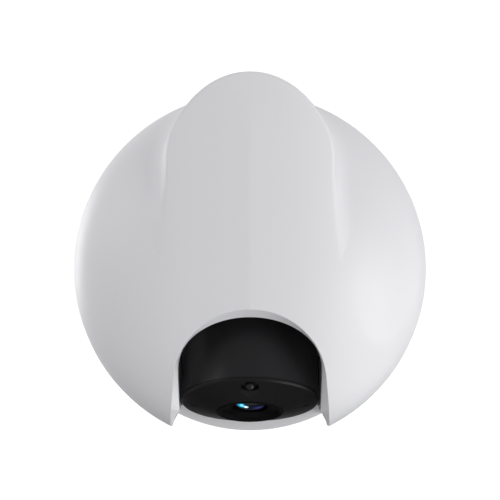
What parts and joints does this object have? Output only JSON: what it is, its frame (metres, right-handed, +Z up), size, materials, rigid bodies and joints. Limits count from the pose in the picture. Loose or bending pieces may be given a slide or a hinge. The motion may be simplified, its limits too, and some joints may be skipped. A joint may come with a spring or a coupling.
{
  "type": "floodlight security camera",
  "caption": "Wall floodlight with a domed light cover, a ridge above, and a camera head that tilts in a bay cut into the lower half.",
  "frame": {"origin": "the wall plane behind the centre of the drum", "axes": "+Z up, the front faces -Y, +X to the viewer's right, symmetric about the YZ plane apart from inner parts"},
  "size_m": [0.18, 0.11, 0.1824],
  "materials": {
    "acetal": "satin",
    "aluminium": "satin",
    "black_camera": "semi-gloss",
    "black_trim": "matte",
    "circuit_green": "satin",
    "circuit_white": "matte",
    "coated_glass": "coated",
    "copper_winding": "satin",
    "dark_electronics": "matte",
    "galvanised_steel": "satin",
    "grey_cap": "satin",
    "inner_glass": "clear",
    "led_yellow": "satin",
    "screw_steel": "satin",
    "seal_rubber": "matte",
    "sensor_ball": "gloss",
    "white_housing": "satin",
    "white_shell": "satin",
    "white_shroud": "satin"
  },
  "bodies": {
    "housing": {"back_panel": "white_housing", "bay_shroud": "white_shroud", "board_posts": "screw_steel", "button_switch": "dark_electronics", "cable_gland": "black_trim", "camera_cable": "black_trim", "camera_connector": "circuit_white", "dome_screws": "screw_steel", "driver_board": "circuit_green", "driver_capacitors": "dark_electronics", "driver_inductor": "copper_winding", "driver_transformer": "copper_winding", "friction_washer_left": "screw_steel", "friction_washer_right": "screw_steel", "front_dome": "white_shell", "heat_spreader": "aluminium", "housing_seal": "seal_rubber", "led_board": "circuit_white", "led_chips": "led_yellow", "lock_screws": "screw_steel", "pivot_bush_left": "acetal", "pivot_bush_right": "acetal", "rear_housing": "white_housing", "reflector": "circuit_white", "siren_speaker": "dark_electronics", "spreader_posts": "aluminium", "switch_bracket": "galvanised_steel", "terminal_block": "circuit_green", "vent_membrane": "black_trim", "wall_gasket": "seal_rubber", "wall_plate": "galvanised_steel", "wifi_antenna": "circuit_green", "wifi_board": "circuit_green"},
    "camera_head": {"pivot_pin_left": "screw_steel", "pivot_pin_right": "screw_steel", "pivot_clip_left": "screw_steel", "pivot_clip_right": "screw_steel", "camera_shell": "black_camera", "camera_bezel": "black_camera", "bezel_seal": "seal_rubber", "light_sensor": "sensor_ball", "lens_ring": "black_camera", "lens_retainer": "black_trim", "lens_front_element": "coated_glass", "lens_barrel": "black_trim", "lens_element_2": "inner_glass", "lens_element_3": "inner_glass", "infrared_filter": "inner_glass", "image_sensor": "dark_electronics", "sensor_board": "circuit_green", "camera_main_board": "circuit_green", "camera_heat_block": "aluminium", "infrared_board": "circuit_green", "infrared_leds": "dark_electronics", "microphones": "screw_steel"},
    "button": {"reset_button": "grey_cap"}
  },
  "joints": [
    {"name": "camera_tilt", "type": "hinge", "parent": "housing", "child": "camera_head", "pos_m": [0, -0.0545, -0.0385], "axis": [-1, 0, 0], "range_deg": [-20, 32]},
    {"name": "reset_press", "type": "slide", "parent": "housing", "child": "button", "axis": [0.6428, 0, 0.766], "range_m": [0, 0.0015], "stiffness_N_per_m": 1200, "springref_m": -0.0008}
  ]
}
